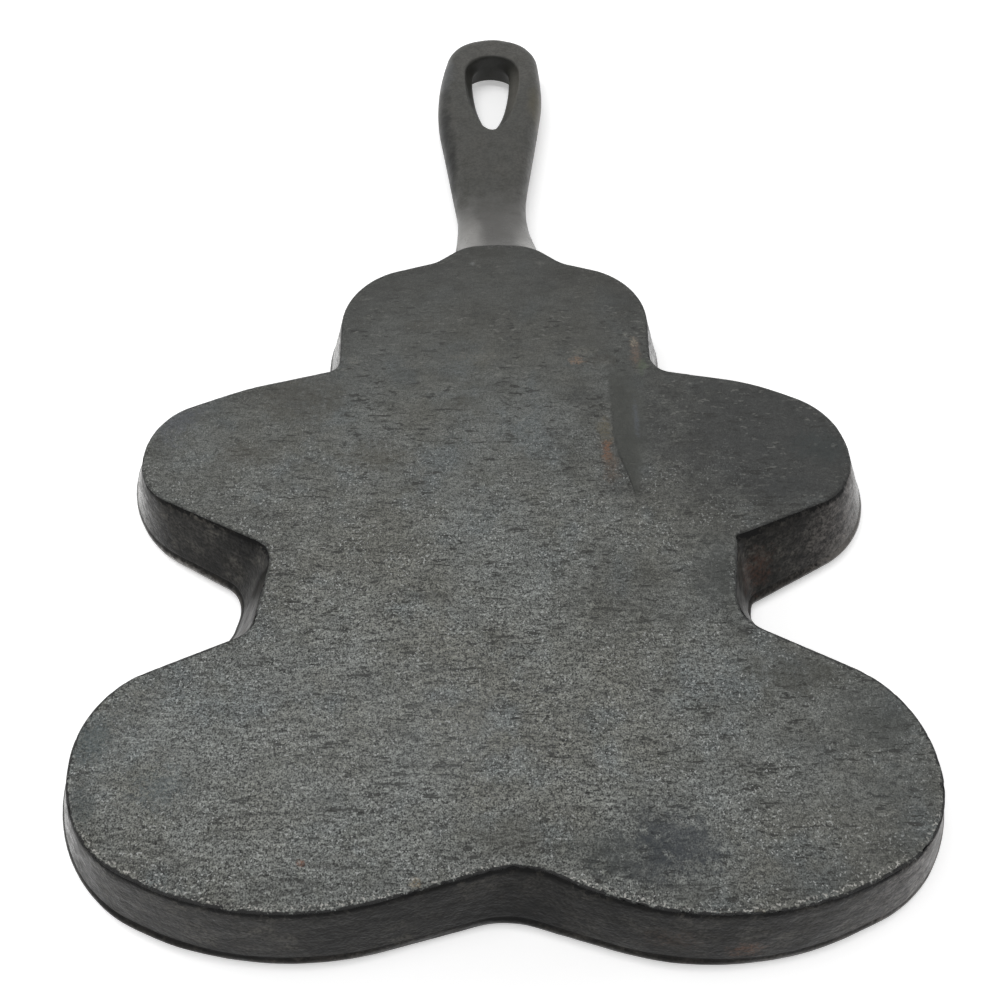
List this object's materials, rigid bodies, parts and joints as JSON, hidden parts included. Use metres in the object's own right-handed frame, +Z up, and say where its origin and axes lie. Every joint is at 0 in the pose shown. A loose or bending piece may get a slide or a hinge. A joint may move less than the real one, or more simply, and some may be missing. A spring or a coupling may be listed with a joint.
{
  "type": "mini cast iron skillet",
  "caption": "Small cast iron skillet in the outline of a gingerbread man, with a flat back, a shallow cavity and a flat handle with a teardrop hanging hole.",
  "frame": {"origin": "centre of the overall box on the surface that the rim stands on, with the skillet face down", "axes": "+Z up, out of the flat back; +Y along the handle, away from the toes; +X across the arms"},
  "size_m": [0.1404, 0.212, 0.0148],
  "materials": {
    "pan_floor": "rough sand-cast iron, oiled, dark grey with faint rust tints",
    "pan_wall": "sand-cast iron, oiled, brown-black",
    "handle": "smoother cast iron, rubbed and oiled"
  },
  "bodies": {
    "root": {"pan_floor": "pan_floor", "pan_wall": "pan_wall", "handle": "handle"}
  },
  "joints": []
}
